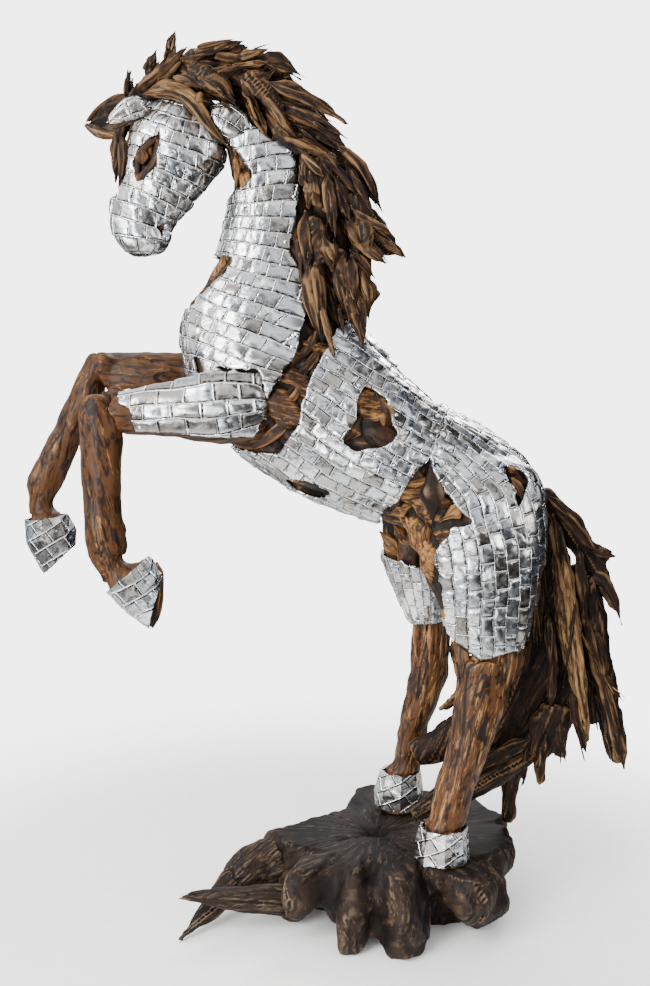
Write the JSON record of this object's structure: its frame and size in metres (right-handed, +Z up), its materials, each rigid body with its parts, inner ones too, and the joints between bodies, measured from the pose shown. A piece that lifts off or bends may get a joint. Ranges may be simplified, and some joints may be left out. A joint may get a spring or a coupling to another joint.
{
  "type": "driftwood horse sculpture",
  "caption": "Rearing horse statue of glued driftwood, clad in patches of hammered sheet-metal tiles, with a mane and tail of splintered sticks, on a dark root base.",
  "frame": {"origin": "on the floor, on the flat underside of the root base, under the middle of the horse's chest and flank", "axes": "+Z up; the horse faces -X; its left (near) side is -Y"},
  "size_m": [1.432, 0.684, 1.9923],
  "materials": {
    "horse_wood": "oiled driftwood, satin",
    "mane_wood": "oiled splintered driftwood, satin",
    "tail_wood": "dark weathered driftwood",
    "root_wood": "very dark weathered root, dull",
    "sheet_metal": "hammered and polished sheet"
  },
  "bodies": {
    "root": {"root_base": "root_wood", "root_arm": "root_wood", "root_spur": "root_wood", "carcass": "horse_wood", "head": "horse_wood", "near_fore_cannon": "horse_wood", "near_forearm": "horse_wood", "far_fore_cannon": "horse_wood", "far_forearm": "horse_wood", "near_hind_leg": "horse_wood", "far_hind_leg": "horse_wood", "neck_cladding": "sheet_metal", "barrel_cladding": "sheet_metal", "hip_cladding": "sheet_metal", "far_thigh_cladding": "sheet_metal", "forearm_cladding": "sheet_metal", "head_cladding": "sheet_metal", "near_fore_hoof_cap": "sheet_metal", "far_fore_hoof_cap": "sheet_metal", "near_hind_hoof_cap": "sheet_metal", "far_hind_hoof_cap": "sheet_metal", "near_eye": "horse_wood", "far_eye": "horse_wood", "near_ear": "horse_wood", "far_ear": "horse_wood", "forelock": "mane_wood", "face_lock": "mane_wood", "mane_lock_01": "mane_wood", "mane_lock_02": "mane_wood", "mane_lock_03": "mane_wood", "mane_lock_04": "mane_wood", "mane_lock_05": "mane_wood", "mane_lock_06": "mane_wood", "mane_lock_07": "mane_wood", "mane_lock_08": "mane_wood", "mane_lock_09": "mane_wood", "mane_lock_10": "mane_wood", "mane_lock_11": "mane_wood", "mane_lock_12": "mane_wood", "mane_lock_13": "mane_wood", "mane_lock_14": "mane_wood", "mane_lock_15": "mane_wood", "mane_lock_16": "mane_wood", "mane_lock_17": "mane_wood", "mane_lock_18": "mane_wood", "mane_lock_19": "mane_wood", "mane_lock_20": "mane_wood", "far_mane_row_1": "mane_wood", "far_mane_row_2": "mane_wood", "far_mane_row_3": "mane_wood", "tail_plank": "tail_wood", "tail_outer_branch": "tail_wood", "tail_long_stick": "tail_wood", "tail_edge_stick": "tail_wood", "tail_brace": "tail_wood", "tail_fringe": "tail_wood", "tail_inner_stick": "tail_wood", "tail_far_stick": "tail_wood", "tail_prop": "tail_wood", "tail_splinters": "tail_wood"}
  },
  "joints": []
}
